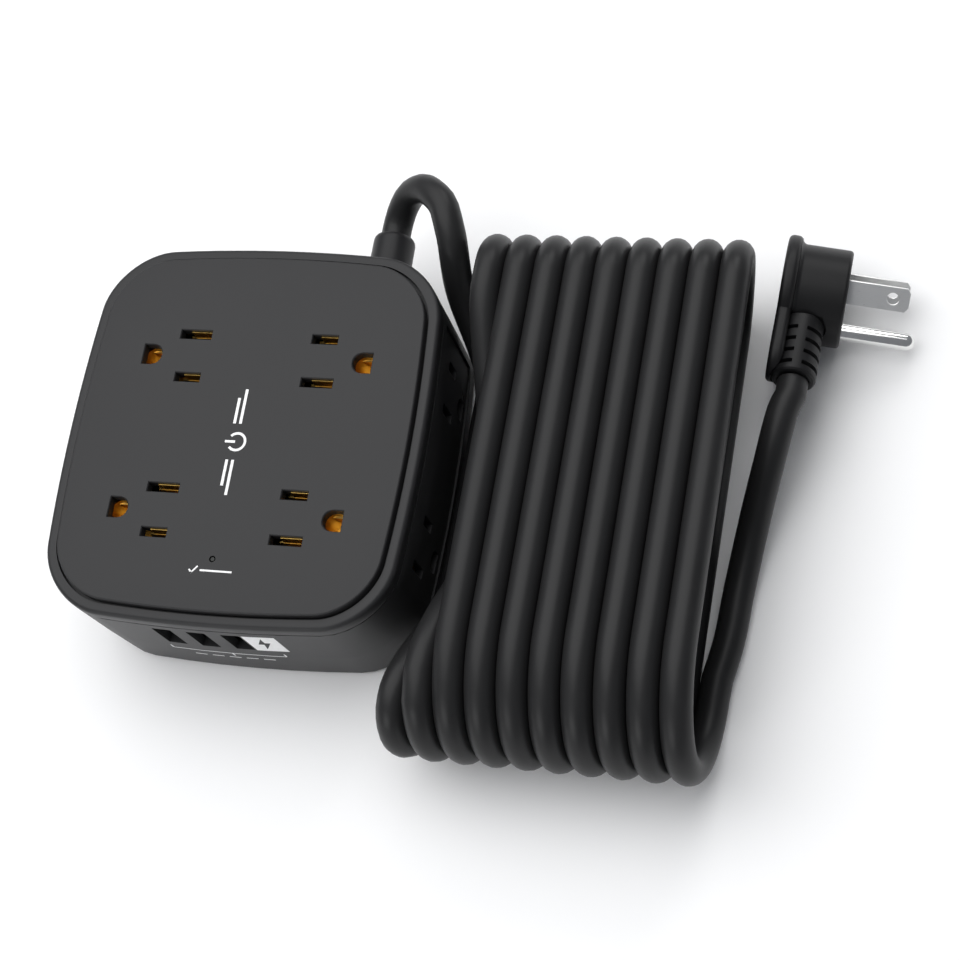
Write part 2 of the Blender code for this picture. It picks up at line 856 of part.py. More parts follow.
def make_board_screws():
    """Two screws hold the power board, on opposite posts."""
    head_z = BOARD_Z[1] + GAP
    for index, (x, y) in enumerate((POSTS[0], POSTS[3]), 1):

        def head(shape, x=x, y=y):
            top = (x, y, head_z + 1.5 * MM)
            add_cylinder(shape, (x, y, head_z), top, 2.4 * MM, 12)

        def shank(shape, x=x, y=y):
            top = (x, y, head_z + 0.5 * MM)
            add_cylinder(shape, (x, y, 3.2 * MM), top, 0.9 * MM, 10)

        made = mesh_object(f"board_screw_{index}", head, steel())
        combine(made, cutter(f"board_screw_shank_{index}", shank), "UNION")


def add_legs(made, places, top_z):
    """Two solder legs, in millimetres, that reach down to the board."""

    def build(shape):
        for x, y in places:
            top = Vector((x * MM, y * MM, top_z))
            add_cylinder(shape, (top.x, top.y, SOLDER_Z), top, 0.45 * MM, 8)

    return combine(made, cutter(made.name + "_legs", build), "UNION")


# Boxed components in millimetres: low and high corner, colour, places of the two legs.
BOXED = {
    "filter_capacitor": (
        (-21, -6, 10),
        (-3, 3, 22),
        (0.62, 0.45, 0.1),
        [(-18, -1.5), (-6, -1.5)],
    ),
    "usb_transformer": (
        (6, -14, 10.4),
        (22, 2, 24),
        (0.6, 0.5, 0.12),
        [(9, -6), (19, -6)],
    ),
}

# Round components in millimetres: ends, radius, edge, colour, place of the legs along X.
ROUND = {
    "varistor_1": ((-22.2, 16, 18.4), (-17.8, 16, 18.4), 7.2, 1.2, (0.05, 0.13, 0.4), -20),
    "varistor_2": ((-13.2, 16, 18.4), (-8.8, 16, 18.4), 7.2, 1.2, (0.05, 0.13, 0.4), -11),
    "varistor_3": ((-4.2, 16, 18.4), (0.2, 16, 18.4), 7.2, 1.2, (0.05, 0.13, 0.4), -2),
    "thermal_fuse": ((6, 10, 12.5), (6, 21, 12.5), 2.0, 0.3, (0.5, 0.48, 0.44), None),
    "bulk_capacitor": ((-12, -13, 9.8), (-12, -13, 24), 4.5, 0.7, (0.03, 0.03, 0.05), None),
}
# The legs of each kind of round component: their places, and how high they reach.
ROUND_LEGS = {
    "varistor": (lambda x: [(x, 12.5), (x, 19.5)], 14.0),
    "thermal": (lambda x: [(6, 11), (6, 20)], 12.0),
    "bulk": (lambda x: [(-14, -13), (-10, -13)], 12.0),
}


def make_components():
    for name, (low, high, colour, legs) in BOXED.items():

        def case(shape, low=low, high=high):
            add_box(shape, mm(*low), mm(*high))

        made = mesh_object(name, case, material(name + "_case", colour, 0.4))
        add_legs(round_edges(made, 0.8 * MM), legs, 12 * MM)

    for name, (start, end, radius, edge, colour, legs_x) in ROUND.items():

        def turned(shape, start=start, end=end, radius=radius):
            add_cylinder(shape, mm(*start), mm(*end), radius * MM)

        kind = name.split("_")[0]
        made = mesh_object(name, turned, material(kind + "_case", colour, 0.4))
        places, top = ROUND_LEGS[kind]
        add_legs(round_edges(made, edge * MM), places(legs_x), top * MM)
        smooth(made)


def make_led():
    x, y = LED_AT

    def body(shape):
        add_cylinder(shape, (x, y, 33 * MM), (x, y, 38.4 * MM), 1.5 * MM, 16)

    def base(shape):
        add_cylinder(shape, (x, y, 32.2 * MM), (x, y, 33.4 * MM), 1.8 * MM, 16)
        for leg in (x - 0.9 * MM, x + 0.9 * MM):
            low = (leg, y, USB_BOARD_Z[1] + GAP)
            add_cylinder(shape, low, (leg, y, 32.8 * MM), 0.3 * MM, 6)

    def pipe(shape):
        top = (x, y, PLATE_TOP_Z - 0.2 * MM)
        add_cylinder(shape, (x, y, 39.2 * MM), top, 0.55 * MM, 12)

    made = mesh_object("status_led", body, material("led_green", (0.2, 0.75, 0.3), 0.2))
    round_edges(made, 0.6 * MM)
    smooth(combine(made, cutter("led_base", base), "UNION"))
    smooth(mesh_object("light_pipe", pipe, material("clear_pipe", (0.7, 0.8, 0.72), 0.1)))


def make_usb_ports():
    white = material("usb_insulator", (0.8, 0.8, 0.78), 0.45)
    half = Vector((USB_OPENING[0] / 2, 0, USB_OPENING[1] / 2))
    wall = USB_SHELL_WALL
    length = Vector((0, USB_DEPTH, 0))
    for index in range(USB_COUNT):
        front = Vector((USB_FIRST_X + index * USB_PITCH, USB_FACE_Y, USB_Z))
        back = front + length

        def shell(shape, front=front, back=back):
            grow = Vector((wall, 0, wall))
            add_box(shape, front - half - grow, back + half + grow)

        def inside(shape, front=front, back=back):
            add_box(shape, front - half - mm(0, 2, 0), back + half - Vector((0, wall, 0)))

        made = mesh_object(f"usb_shell_{index + 1}", shell, nickel())
        combine(made, cutter(f"usb_inside_{index + 1}", inside), "DIFFERENCE")
        middle = Vector((TONGUE_OFFSET, 0, 0))
        blade = Vector((TONGUE_HALF[0], 0, TONGUE_HALF[1]))
        clear = Vector((GAP, 0, GAP))
        boxes = [
            (front + middle - blade + mm(0, 1, 0), back + middle + blade - mm(0, 1, 0)),
            (
                back - half + clear - mm(0, 3, 0),
                back + half - clear - Vector((0, wall + GAP, 0)),
            ),
        ]
        boxes_object(f"usb_tongue_{index + 1}", boxes, white)


def make_breaker():
    """The overload breaker inside the back wall, and its round reset button."""
    x, z = RESET_AT
    bore_radius = RESET_RADIUS + 0.4 * MM

    def body(shape):
        low = (x - 6.4 * MM, 31.5 * MM, 15.5 * MM)
        add_box(shape, low, (x + 6.4 * MM, 49.6 * MM, 32.5 * MM))

    def neck(shape):
        add_cylinder(shape, (x, 48 * MM, z), (x, 53.2 * MM, z), 5.2 * MM, 28)

    def bore(shape):
        add_cylinder(shape, (x, 38 * MM, z), (x, 58 * MM, z), bore_radius, 28)

    def stem(shape):
        add_cylinder(shape, (0, -10.5 * MM, 0), (0, 0, 0), RESET_RADIUS, 24)

    case = mesh_object("breaker_case", body, material("breaker_black", (0.03,) * 3, 0.6))
    combine(case, cutter("breaker_neck", neck), "UNION")
    combine(case, cutter("breaker_bore", bore), "DIFFERENCE")
    smooth(case)
    black = material("button_black", (0.02, 0.02, 0.02), 0.4)
    button = round_edges(mesh_object("reset_button", stem, black), 0.5 * MM)
    button.location = (x, 53.3 * MM, z)
    smooth(button)


# ---------------------------------------------------------------- cord and plug


def make_cord_relief():
    """The bushing in the back wall: a grooved neck held by the wall, and a collar."""
    x, z = CORD_EXIT
    profile = [
        (0.0, 44.9),
        (6.2, 44.9),
        (6.2, 47.2),
        (8.4, 47.2),
        (8.4, 49.4),
        (6.5, 49.9),
        (6.5, 54.6),
        (7.0, 54.9),
        (7.0, 56.4),
        (6.0, 57.0),
        (5.9, 66.4),
        (4.9, 67.8),
        (0.0, 67.8),
    ]

    def relief(shape):
        points = [mm(radius, y, 0) for radius, y in profile]
        add_turned(shape, points, (0, 1, 0), 24, (x, 0, z))

    smooth(mesh_object("cord_strain_relief", relief, cord_vinyl()))


def make_coil():
    """The outer shape of the wound cord, notched where its last length runs out."""
    front, back = COIL_RUN_Y
    middle = COIL_HEIGHT / 2
    half_height = middle - 0.05 * MM
    outline = []
    for centre, nose, first in ((back, COIL_NOSE[1], -1), (front, COIL_NOSE[0], 1)):
        reach = nose + CORD_RADIUS
        for y, z in arc((0, 0), 1.0, first * math.pi / 2, (first + 2) * math.pi / 2, 14):
            outline.append(Vector((COIL_X[0], centre + reach * y, middle + half_height * z)))

    def coil(shape):
        add_prism(shape, outline, Vector((COIL_X[1] - COIL_X[0], 0, 0)))

    def notch(shape):
        x, y, z = COIL_NOTCH
        add_box(shape, (x, y, -2 * MM), (x + 20 * MM, y + 140 * MM, z))

    made = mesh_object("cord_coil", coil, cord_vinyl())
    smooth(combine(made, cutter("coil_notch", notch), "DIFFERENCE"))


def plug_frame():
    """Plug axes: X out through the blades, Y towards the pin, Z across the blades."""
    yaw = Matrix.Rotation(PLUG_YAW, 4, "Z")
    pitch = Matrix.Rotation(PLUG_PITCH, 4, "Y")
    roll = Matrix.Rotation(math.pi + PLUG_ROLL, 4, "X")
    return Matrix.Translation(mm(*PLUG_AT)) @ yaw @ pitch @ roll


def tail_frame():
    """The plug's frame turned about X until Y runs out along the cord."""
    return plug_frame() @ Matrix.Rotation(-PLUG_CORD_TURN, 4, "X")


def make_free_cord():
    lead = smooth_route([mm(*point) for point in LEAD_ROUTE], CORD_RADIUS * 1.5)
    tube("cord_lead", [mm(*LEAD_START)] + lead, CORD_RADIUS, cord_vinyl(), 3)
    ends = [tail_frame() @ Vector((RELIEF_X, y, 0)) for y in TAIL_END_Y]
    tail = smooth_route([mm(*point) for point in TAIL_ROUTE] + ends[:2], CORD_DIAMETER)
    tube("cord_tail", tail + ends[2:], CORD_RADIUS, cord_vinyl(), 3)


def place(made, frame):
    made.matrix_world = frame
    return made


def flange_outline():
    """The flange's disc with its tail towards the cord, in the tail's frame."""
    turn = PLUG_CORD_TURN
    centre = Vector((math.cos(turn), math.sin(turn))) * PLUG_OFFSET
    upper = math.asin((PLUG_TAIL_HALF - centre.y) / PLUG_FLANGE_RADIUS)
    lower = math.asin((-PLUG_TAIL_HALF - centre.y) / PLUG_FLANGE_RADIUS)
    disc = arc(centre, PLUG_FLANGE_RADIUS, upper, 2 * math.pi + lower, 26)
    end = (PLUG_TAIL - PLUG_TAIL_HALF, 0)
    tail = arc(end, PLUG_TAIL_HALF, -math.pi / 2, math.pi / 2, 8)
    return [Vector((-PLUG_DEPTH, y, z)) for y, z in disc + tail]


def make_plug_body():
    def flange(shape):
        add_prism(shape, flange_outline(), Vector((PLUG_FLANGE, 0, 0)))

    def body(shape):
        start = (PLUG_FLANGE - PLUG_DEPTH - MM, PLUG_OFFSET, 0)
        add_cylinder(shape, start, (0, PLUG_OFFSET, 0), PLUG_RADIUS, 36)

    def relief_seat(shape):
        start = (RELIEF_X, RELIEF_Y[0] - GAP, 0)
        end = (RELIEF_X, RELIEF_Y[1] + 10 * MM, 0)
        add_cylinder(shape, start, end, RELIEF_RADIUS[1] + GAP, 24)

    def blade_seats(shape):
        grow = Vector((GAP, GAP, GAP))
        for sign in (-1, 1):
            middle = sign * BLADE_PITCH / 2
            low = Vector((BLADE_ROOT, -BLADE_HALF, middle - BLADE_THICK))
            high = Vector((5 * MM, BLADE_HALF, middle + BLADE_THICK))
            add_box(shape, low - grow, high + grow)
        start = (PIN_ROOT - GAP, GROUND_OFFSET, 0)
        add_cylinder(shape, start, (5 * MM, GROUND_OFFSET, 0), PIN_RADIUS + GAP)

    made = place(mesh_object("plug_body", flange, cord_vinyl()), tail_frame())
    round_edges(made, 1.2 * MM)
    combine(made, place(cutter("plug_round_body", body), plug_frame()), "UNION")
    seat = place(cutter("plug_relief_seat", relief_seat), tail_frame())
    combine(made, seat, "DIFFERENCE")
    seats = place(cutter("plug_blade_seats", blade_seats), plug_frame())
    combine(made, seats, "DIFFERENCE")
    smooth(made)


def make_plug_relief():
    """The flexible sleeve, with short slots on its blade side and its flange side."""

    def sleeve(shape):
        start, end = [(RELIEF_X, y, 0) for y in RELIEF_Y]
        add_cylinder(shape, start, end, RELIEF_RADIUS[0], 24, RELIEF_RADIUS[1])

    def slots(shape):
        for row in range(SLOT_COUNT):
            low = SLOT_FIRST + SLOT_PITCH * row
            for sign in (-1, 1):
                add_box(
                    shape,
                    *sorted_box(
                        (RELIEF_X + sign * SLOT_DEPTH, low, -7 * MM),
                        (RELIEF_X + sign * 8 * MM, low + SLOT_SIZE, 7 * MM),
                    ),
                )

    made = place(mesh_object("plug_strain_relief", sleeve, cord_vinyl()), tail_frame())
    round_edges(made, 0.6 * MM)
    combine(made, place(cutter("relief_slots", slots), tail_frame()), "DIFFERENCE")
    smooth(made)


def make_blade(name, middle):
    """One flat blade with chamfered tip corners and its round hole."""
    cut_x, cut_y = BLADE_CHAMFER
    outline = [
        (BLADE_ROOT, -BLADE_HALF),
        (BLADE_LENGTH - cut_x, -BLADE_HALF),
        (BLADE_LENGTH, -BLADE_HALF + cut_y),
        (BLADE_LENGTH, BLADE_HALF - cut_y),
        (BLADE_LENGTH - cut_x, BLADE_HALF),
        (BLADE_ROOT, BLADE_HALF),
    ]

    def blade(shape):
        low = at_height(outline, middle - BLADE_THICK)
        add_prism(shape, low, Vector((0, 0, 2 * BLADE_THICK)))

    def hole(shape):
        x, radius = BLADE_HOLE
        add_cylinder(shape, (x, 0, middle - 3 * MM), (x, 0, middle + 3 * MM), radius)

    made = place(mesh_object(name, blade, nickel()), plug_frame())
    combine(made, place(cutter(name + "_hole", hole), plug_frame()), "DIFFERENCE")


def make_pin():
    """The round ground pin with its domed tip."""
    shoulder = PIN_LENGTH - PIN_RADIUS
    dome = arc((shoulder, 0), PIN_RADIUS, math.pi / 2, 0.0, 4)
    outline = [(PIN_ROOT, 0.0), (PIN_ROOT, PIN_RADIUS), *dome[:-1], (PIN_LENGTH, 0.0)]

    def pin(shape):
        points = [Vector((x, radius, 0)) for x, radius in outline]
        add_turned(shape, points, (1, 0, 0), 20, (0, GROUND_OFFSET, 0))

    smooth(place(mesh_object("plug_ground_pin", pin, nickel()), plug_frame()))


# ---------------------------------------------------------------- assembly

make_housing()
make_side_plates()
make_top_frame()
make_face_plate()
make_base()
make_feet_and_screws()
make_top_contacts()
make_side_contacts()
make_wires()
make_boards()
make_board_screws()
make_components()
make_led()
make_usb_ports()
make_breaker()
make_cord_relief()
make_coil()
make_free_cord()
make_plug_body()
make_plug_relief()
make_blade("plug_blade_1", -BLADE_PITCH / 2)
make_blade("plug_blade_2", BLADE_PITCH / 2)
make_pin()
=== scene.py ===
"""An eight-outlet surge protector with its wound cord and flat plug, finished and lit."""

import math

import bmesh
import bpy
from mathutils import Matrix, Vector
from mathutils.bvhtree import BVHTree


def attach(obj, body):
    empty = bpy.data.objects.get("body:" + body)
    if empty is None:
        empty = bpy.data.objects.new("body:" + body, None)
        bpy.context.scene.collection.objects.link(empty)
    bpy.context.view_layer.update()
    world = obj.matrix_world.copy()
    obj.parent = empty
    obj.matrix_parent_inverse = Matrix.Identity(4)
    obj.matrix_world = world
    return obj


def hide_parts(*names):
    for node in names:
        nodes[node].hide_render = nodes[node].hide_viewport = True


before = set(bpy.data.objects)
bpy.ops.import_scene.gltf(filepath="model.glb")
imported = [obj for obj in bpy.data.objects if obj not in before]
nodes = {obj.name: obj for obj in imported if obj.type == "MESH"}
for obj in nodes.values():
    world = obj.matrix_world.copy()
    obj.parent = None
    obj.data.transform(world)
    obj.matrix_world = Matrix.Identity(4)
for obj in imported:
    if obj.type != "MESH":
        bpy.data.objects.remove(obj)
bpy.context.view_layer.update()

# ---------------------------------------------------------------- view and light
# The camera looks steeply down on the face plate, tilted to one side, through a long lens.
# A wide soft box hangs overhead, a narrow one lights the wall with the charging ports, and
# a weak one stands behind. Everything lies on a sheet of white paper.

MM = 0.001
eye = Vector((232.0, -199.8, 551.9)) * MM
aim = Vector((60.8, -1.3, 20.0)) * MM
tilt = math.radians(-34.4)

lens = bpy.data.cameras.new("camera")
lens.lens = 82.93
lens.sensor_width = 36.0
lens.clip_start = 0.01
camera = bpy.data.objects.new("camera", lens)
look = (aim - eye).to_track_quat("-Z", "Y").to_matrix().to_4x4()
camera.matrix_world = Matrix.Translation(eye) @ look @ Matrix.Rotation(tilt, 4, "Z")
bpy.context.scene.collection.objects.link(camera)
bpy.context.scene.camera = camera
bpy.context.scene.view_settings.view_transform = "Standard"


def soft_box(name, place, target, width, height, watts):
    """A rectangular lamp, sized in metres, that faces its target."""
    lamp = bpy.data.lights.new(name, "AREA")
    lamp.shape = "RECTANGLE"
    lamp.size = width
    lamp.size_y = height
    lamp.energy = watts
    made = bpy.data.objects.new(name, lamp)
    place, target = Vector(place), Vector(target)
    turn = (target - place).to_track_quat("-Z", "Y").to_matrix().to_4x4()
    made.matrix_world = Matrix.Translation(place) @ turn
    bpy.context.scene.collection.objects.link(made)


soft_box("light_top", (-0.3, 0.25, 1.15), (0.05, 0, 0), 1.7, 1.7, 21)
soft_box("light_front", (-0.35, -1.1, 0.5), (0.02, 0, 0.02), 0.7, 0.4, 3.6)
soft_box("light_back", (0.3, 1.0, 0.7), (0.05, 0, 0), 0.5, 0.5, 3)

world = bpy.data.worlds.new("studio")
world.use_nodes = True
sky = world.node_tree.nodes["Background"]
sky.inputs["Color"].default_value = (0.9, 0.93, 1.0, 1)
sky.inputs["Strength"].default_value = 0.22
bpy.context.scene.world = world

floor_shape = bmesh.new()
bmesh.ops.create_grid(floor_shape, x_segments=1, y_segments=1, size=6.0)
floor_mesh = bpy.data.meshes.new("floor")
floor_shape.to_mesh(floor_mesh)
floor_shape.free()
floor = bpy.data.objects.new("floor", floor_mesh)
bpy.context.scene.collection.objects.link(floor)
paper = bpy.data.materials.new("white_paper")
paper.use_nodes = True
paper_skin = paper.node_tree.nodes["Principled BSDF"]
paper_skin.inputs["Base Color"].default_value = (0.96, 0.96, 0.96, 1)
paper_skin.inputs["Roughness"].default_value = 0.9
paper_skin.inputs["Specular IOR Level"].default_value = 0.1
floor_mesh.materials.append(paper)

# ---------------------------------------------------------------- power cord
# A three-conductor cord in a round black vinyl jacket. It leaves the back wall, folds over
# the corner, and is wound into ten long turns, pressed flat side by side as it comes packed.
# The first two turns have slipped down beside the wall, so the side outlets stay in sight.


def vinyl(name, colour, rough, grain=0.25):
    """Soft black vinyl: a dull skin with a faint sheen, fine pits and long smears of polish."""
    made = bpy.data.materials.new(name)
    made.use_nodes = True
    tree = made.node_tree
    skin = tree.nodes["Principled BSDF"]
    skin.inputs["Specular IOR Level"].default_value = 0.22
    place = tree.nodes.new("ShaderNodeTexCoord")
    pits = tree.nodes.new("ShaderNodeTexNoise")
    pits.inputs["Scale"].default_value = 2600.0
    pits.inputs["Detail"].default_value = 3.0
    smears = tree.nodes.new("ShaderNodeTexNoise")
    smears.inputs["Scale"].default_value = 55.0
    smears.inputs["Detail"].default_value = 4.0
    polish = tree.nodes.new("ShaderNodeMapRange")
    polish.inputs["To Min"].default_value = rough - 0.06
    polish.inputs["To Max"].default_value = rough + 0.08
    shade = tree.nodes.new("ShaderNodeMix")
    shade.data_type = "RGBA"
    shade.inputs["A"].default_value = (*[channel * 0.82 for channel in colour], 1)
    shade.inputs["B"].default_value = (*[channel * 1.18 for channel in colour], 1)
    bump = tree.nodes.new("ShaderNodeBump")
    bump.inputs["Strength"].default_value = grain
    bump.inputs["Distance"].default_value = 0.00006
    tree.links.new(place.outputs["Object"], pits.inputs["Vector"])
    tree.links.new(place.outputs["Object"], smears.inputs["Vector"])
    tree.links.new(smears.outputs["Fac"], polish.inputs["Value"])
    tree.links.new(smears.outputs["Fac"], shade.inputs["Factor"])
    tree.links.new(pits.outputs["Fac"], bump.inputs["Height"])
    tree.links.new(polish.outputs["Result"], skin.inputs["Roughness"])
    tree.links.new(shade.outputs["Result"], skin.inputs["Base Color"])
    tree.links.new(bump.outputs["Normal"], skin.inputs["Normal"])
    return made


def smooth_route(points, spacing):
    """Points at about equal spacing on a smooth curve through the given points."""
    ends = [points[0] * 2 - points[1], *points, points[-1] * 2 - points[-2]]
    dense = []
    fineness = 20
    for before, start, end, after in zip(ends, ends[1:], ends[2:], ends[3:]):
        for step in range(fineness):
            t = step / fineness
            dense.append(
                (
                    start * 2
                    + (end - before) * t
                    + (before * 2 - start * 5 + end * 4 - after) * t * t
                    + (start * 3 - before - end * 3 + after) * t * t * t
                )
                / 2
            )
    dense.append(points[-1])
    placed = [dense[0]]
    for point in dense[1:]:
        if (point - placed[-1]).length >= spacing:
            placed.append(point)
    if (dense[-1] - placed[-1]).length < spacing / 2:
        placed.pop()
    return placed + [dense[-1]]


cord_diameter = 8.3
rest_z = 4.25
top_z = 41.8
turns = 10
turn_pitch = 8.3
first_x = 52.25
front_y, back_y = -48.5, 50.2
front_nose, back_nose = 26.7, 13.0
lean = -1.64
front_step, back_step = 0.33 * turn_pitch, 0.66 * turn_pitch
run_steps, front_steps, back_steps = 16, 24, 20
first_front_steps = {0: 15, 1: 6}
point_spacing = 2.4

lead_route = [
    (25.8, 68.1, 24.2),
    (25.8, 70.2, 24.3),
    (26.5, 73.2, 25.6),
    (28.1, 76.1, 28.2),
    (31.2, 78.2, 32.0),
    (36.1, 77.6, 36.2),
    (40.6, 74.3, 38.6),
    (43.6, 70.9, 39.0),
    (45.5, 66.3, 38.4),
    (46.8, 61.9, 36.2),
    (47.2, 58.0, 32.6),
    (47.4, 54.4, 28.0),
    (48.2, 50.8, 23.2),
    (50.0, 46.6, 18.8),
    (52.6, 41.4, 15.4),
    (55.4, 35.0, 13.3),
    (57.6, 28.0, 12.7),
    (59.0, 20.0, 12.6),
    (59.5, 10.0, 12.6),
    (59.5, 0.0, 12.6),
    (59.5, -12.0, 12.6),
    (59.1, -20.0, 12.7),
    (58.5, -26.0, 13.3),
    (57.6, -32.0, 14.9),
    (56.6, -38.0, 17.9),
    (55.6, -44.0, 21.8),
    (54.3, -50.0, 25.7),
    (52.9, -56.7, 29.9),
    (51.7, -62.7, 32.0),
    (51.0, -68.4, 30.8),
    (50.9, -72.4, 27.1),
    (51.2, -74.3, 22.6),
    (51.8, -74.3, 19.0),
]
second_run = [
    (60.55, 50.2, 41.8),
    (60.4, 45.0, 41.3),
    (60.7, 38.0, 38.6),
    (61.7, 28.0, 33.0),
    (62.9, 16.0, 26.0),
    (63.8, 4.0, 21.4),
    (64.1, -8.0, 20.0),
    (63.9, -20.0, 21.2),
    (62.6, -32.0, 26.0),
    (60.8, -43.0, 32.4),
    (59.5, -53.0, 37.0),
    (59.0, -60.0, 37.9),
]
tail_route = [
    (128.3, -46.7, 4.25),
    (129.9, -38.0, 4.25),
    (130.6, -31.4, 4.25),
    (131.0, -24.8, 4.4),
    (131.7, -18.4, 5.2),
    (132.6, -12.2, 6.8),
    (133.7, -6.3, 9.3),
    (135.0, -0.7, 12.6),
    (136.5, 4.6, 16.4),
    (138.0, 9.9, 20.1),
    (139.3, 15.6, 23.0),
    (140.6, 21.8, 24.4),
]

plug_frame = (
    Matrix.Translation((152.45, 61.4, 14.77))
    @ Matrix.Rotation(math.radians(-2.9), 4, "Z")
    @ Matrix.Rotation(math.radians(10.0), 4, "Y")
    @ Matrix.Rotation(math.radians(213.0), 4, "X")
)
tail_frame = plug_frame @ Matrix.Rotation(math.radians(-45.0), 4, "X")
relief_x = -10.2
relief_ends = (14.1, 32.5)

middle_z = (top_z + rest_z) / 2
rise = (top_z - rest_z) / 2
route = smooth_route([Vector(point) for point in lead_route], point_spacing)
for turn in range(turns):
    start_x = first_x + turn * turn_pitch
    if turn == 1:
        route += smooth_route([Vector(point) for point in second_run], point_spacing)
    elif turn > 1:
        for step in range(run_steps):
            part = step / run_steps
            y = back_y + (front_y - back_y) * part
            route.append(Vector((start_x + lean * part, y, top_z)))
    for step in range(first_front_steps.get(turn, 0), front_steps):
        angle = math.pi * step / front_steps
        x = start_x + lean + front_step * (1 - math.cos(angle)) / 2
        y = front_y - front_nose * math.sin(angle)
        route.append(Vector((x, y, middle_z + rise * math.cos(angle))))
    if turn == turns - 1:
        break
    near_x = start_x + lean + front_step
    far_x = start_x + turn_pitch - back_step
    for step in range(run_steps):
        part = step / run_steps
        y = front_y + (back_y - front_y) * part
        route.append(Vector((near_x + (far_x - near_x) * part, y, rest_z)))
    for step in range(back_steps):
        angle = math.pi * step / back_steps
        x = far_x + back_step * (1 - math.cos(angle)) / 2
        y = back_y + back_nose * math.sin(angle)
        route.append(Vector((x, y, middle_z - rise * math.cos(angle))))
tail_end = [tail_frame @ Vector((relief_x, y, 0)) for y in (37.4, 35.2, 33.0)]
route += smooth_route([Vector(point) for point in tail_route] + tail_end, point_spacing)

cord_line = bpy.data.curves.new("power_cord", "CURVE")
cord_line.dimensions = "3D"
cord_line.bevel_depth = cord_diameter / 2 * MM
cord_line.bevel_resolution = 8
cord_line.use_fill_caps = True
strand = cord_line.splines.new("POLY")
strand.points.add(len(route) - 1)
for spot, point in zip(strand.points, route):
    spot.co = (*(point * MM), 1.0)
strand.use_smooth = True
cord = bpy.data.objects.new("power_cord", cord_line)
bpy.context.scene.collection.objects.link(cord)
cord_line.materials.append(vinyl("cord_jacket", (0.016, 0.016, 0.0165), 0.4))
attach(cord, "root")
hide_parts("cord_lead", "cord_coil", "cord_tail")

# ---------------------------------------------------------------- plug
# A flat plug of moulded vinyl: a round body on a thin flange that runs out over the cord.
# The flange has a rounded rim, and a small fillet runs round the foot of the body.


def piece_from(name, shape, material, matrix=None):
    """A piece whose mesh, in millimetres, is moved to its place and scaled to metres."""
    if matrix is not None:
        bmesh.ops.transform(shape, matrix=matrix, verts=shape.verts)
    bmesh.ops.scale(shape, vec=(MM, MM, MM), verts=shape.verts)
    bmesh.ops.recalc_face_normals(shape, faces=shape.faces)
    mesh = bpy.data.meshes.new(name)
    shape.to_mesh(mesh)
    shape.free()
    made = bpy.data.objects.new(name, mesh)
    bpy.context.scene.collection.objects.link(made)
    if material is not None:
        mesh.materials.append(material)
    return made


def combine(made, tool, operation):
    """Joins or cuts a piece with another shape, which is then removed."""
    step = made.modifiers.new("cut", "BOOLEAN")
    step.operation = operation
    step.solver = "EXACT"
    step.object = tool
    bpy.context.view_layer.update()
    evaluated = made.evaluated_get(bpy.context.evaluated_depsgraph_get())
    mesh = bpy.data.meshes.new_from_object(evaluated)
    made.modifiers.clear()
    old = made.data
    made.data = mesh
    bpy.data.meshes.remove(old)
    tool_mesh = tool.data
    bpy.data.objects.remove(tool)
    bpy.data.meshes.remove(tool_mesh)
    return made


def shade(made, degrees=32):
    """Smooth faces, with edges kept sharp past an angle."""
    made.data.shade_smooth()
    made.data.set_sharp_from_angle(angle=math.radians(degrees))
    return made


def turned(profile, steps=64):
    """A closed shape turned about X from (x, radius) points that start and end on the axis."""
    shape = bmesh.new()
    points = [shape.verts.new((x, radius, 0)) for x, radius in profile]
    edges = [shape.edges.new(pair) for pair in zip(points, points[1:])]
    bmesh.ops.spin(
        shape,
        geom=points + edges,
        cent=(0, 0, 0),
        axis=(1, 0, 0),
        angle=math.tau,
        steps=steps,
        use_merge=True,
    )
    bmesh.ops.remove_doubles(shape, verts=shape.verts, dist=0.001)
    return shape


def rounded(shape, edges, width, segments):
    """Rounds the given edges."""
    bmesh.ops.bevel(
        shape,
        geom=edges,
        offset=width,
        offset_type="OFFSET",
        affect="EDGES",
        segments=segments,
        profile=0.5,
        material=-1,
        clamp_overlap=True,
    )
    return shape


def corner(centre, radius, first, last, steps):
    """Points on an arc, from its first to its last angle."""
    return [
        (
            centre[0] + radius * math.cos(first + (last - first) * step / steps),
            centre[1] + radius * math.sin(first + (last - first) * step / steps),
        )
        for step in range(steps + 1)
    ]


def slab(outline, low, high):
    """A closed plate between two heights, from its outline in X and Y."""
    shape = bmesh.new()
    face = shape.faces.new([shape.verts.new((x, y, low)) for x, y in outline])
    moved = bmesh.ops.extrude_face_region(shape, geom=[face])["geom"]
    verts = [item for item in moved if isinstance(item, bmesh.types.BMVert)]
    bmesh.ops.translate(shape, vec=(0, 0, high - low), verts=verts)
    bmesh.ops.recalc_face_normals(shape, faces=shape.faces)
    return shape


def rim_edges(shape, level, axis=2):
    """The edges of a plate's outline that lie at one height."""
    return [
        edge
        for edge in shape.edges
        if all(abs(vert.co[axis] - level) < 0.001 for vert in edge.verts)
    ]


